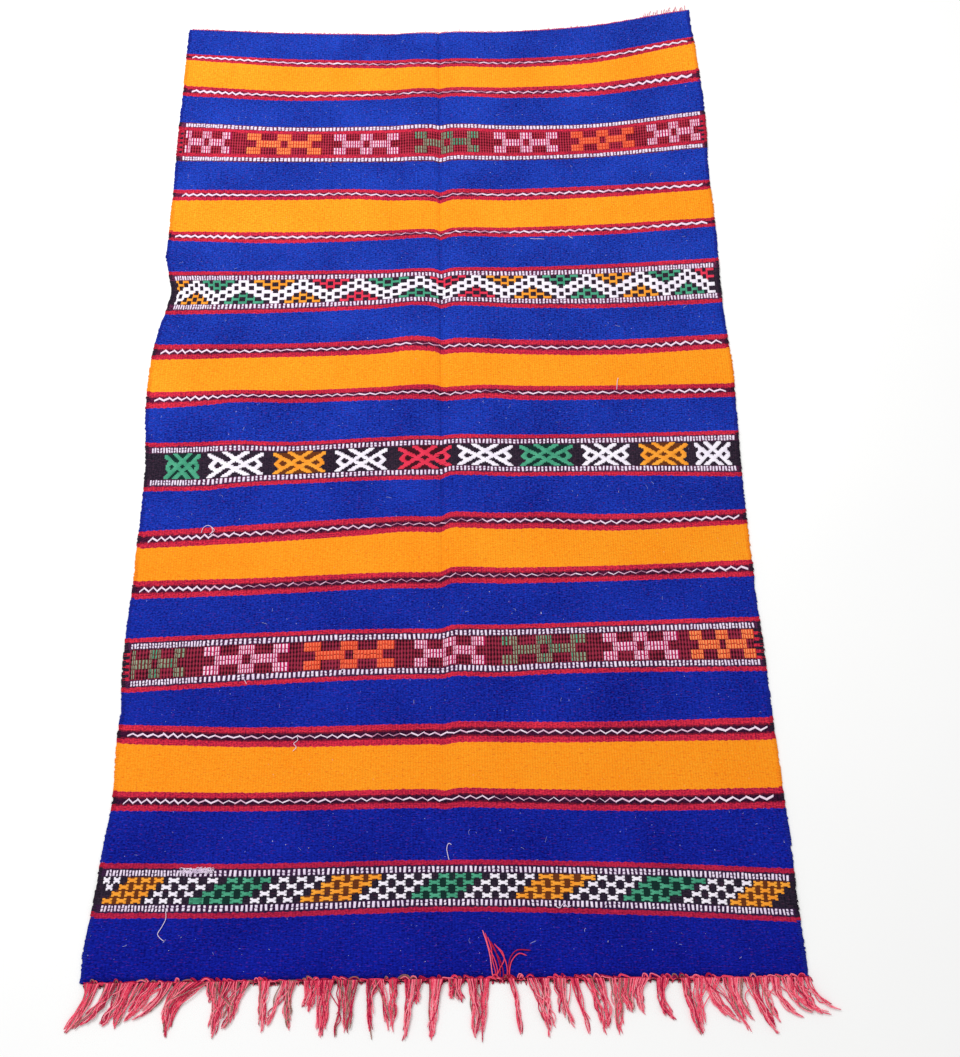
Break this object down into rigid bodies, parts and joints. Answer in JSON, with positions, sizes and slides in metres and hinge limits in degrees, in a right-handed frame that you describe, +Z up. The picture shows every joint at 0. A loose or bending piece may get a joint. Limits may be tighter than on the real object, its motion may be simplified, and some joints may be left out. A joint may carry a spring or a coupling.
{
  "type": "kilim rug",
  "caption": "Flat-woven wool kilim rug lying flat: blue and orange stripes, zigzag borders, brocaded bands, a soft lengthwise crease and a tufted warp fringe.",
  "frame": {"origin": "the middle of the rug's outline, fringe included, on the floor it lies on", "axes": "+X along the wefts, +Y along the warps away from the long fringe, +Z up"},
  "size_m": [1.0748, 1.876, 0.0081],
  "materials": {
    "wool_cloth": "dry matt flat-woven wool",
    "warp_fringe": "matt twisted wool warp yarn",
    "warp_ends": "matt turned wool warp loops"
  },
  "bodies": {
    "root": {"woven_cloth": "wool_cloth", "near_fringe": "warp_fringe", "far_warp_ends": "warp_ends"}
  },
  "joints": []
}
